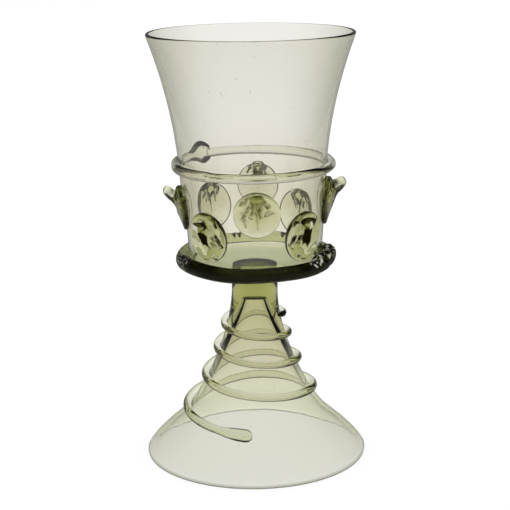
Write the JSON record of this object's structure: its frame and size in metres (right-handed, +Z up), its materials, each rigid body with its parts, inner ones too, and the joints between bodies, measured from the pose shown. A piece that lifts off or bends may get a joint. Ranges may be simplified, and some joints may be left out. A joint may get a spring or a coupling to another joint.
{
  "type": "goblet",
  "caption": "Hand-blown goblet of pale olive glass: a flared bowl with pulled prunts, a thread and a collar, on a hollow trumpet foot wound with a trail.",
  "frame": {"origin": "middle of the foot's flat resting ring, on the surface that the goblet stands on", "axes": "+Z up along the goblet's axis, +X to the right and -Y towards the viewer in the picture"},
  "size_m": [0.1046, 0.1046, 0.2],
  "materials": {
    "bowl_glass": "clear, fire-polished, pale olive",
    "thread_glass": "clear, fire-polished, olive",
    "collar_glass": "clear but thick, so dark olive, crimped",
    "foot_glass": "clear, fire-polished, pale olive, darker in the solid stem",
    "trail_glass": "clear, fire-polished, olive",
    "prunt_glass": "clear, drawn out with pincers, olive"
  },
  "bodies": {
    "root": {"foot": "foot_glass", "foot_trail": "trail_glass", "bowl": "bowl_glass", "bowl_thread": "thread_glass", "collar": "collar_glass", "prunt_upper_front": "prunt_glass", "prunt_upper_right": "prunt_glass", "prunt_upper_back": "prunt_glass", "prunt_upper_left": "prunt_glass", "prunt_lower_front_right": "prunt_glass", "prunt_lower_front_left": "prunt_glass", "prunt_lower_back_right": "prunt_glass", "prunt_lower_back_left": "prunt_glass"}
  },
  "joints": []
}
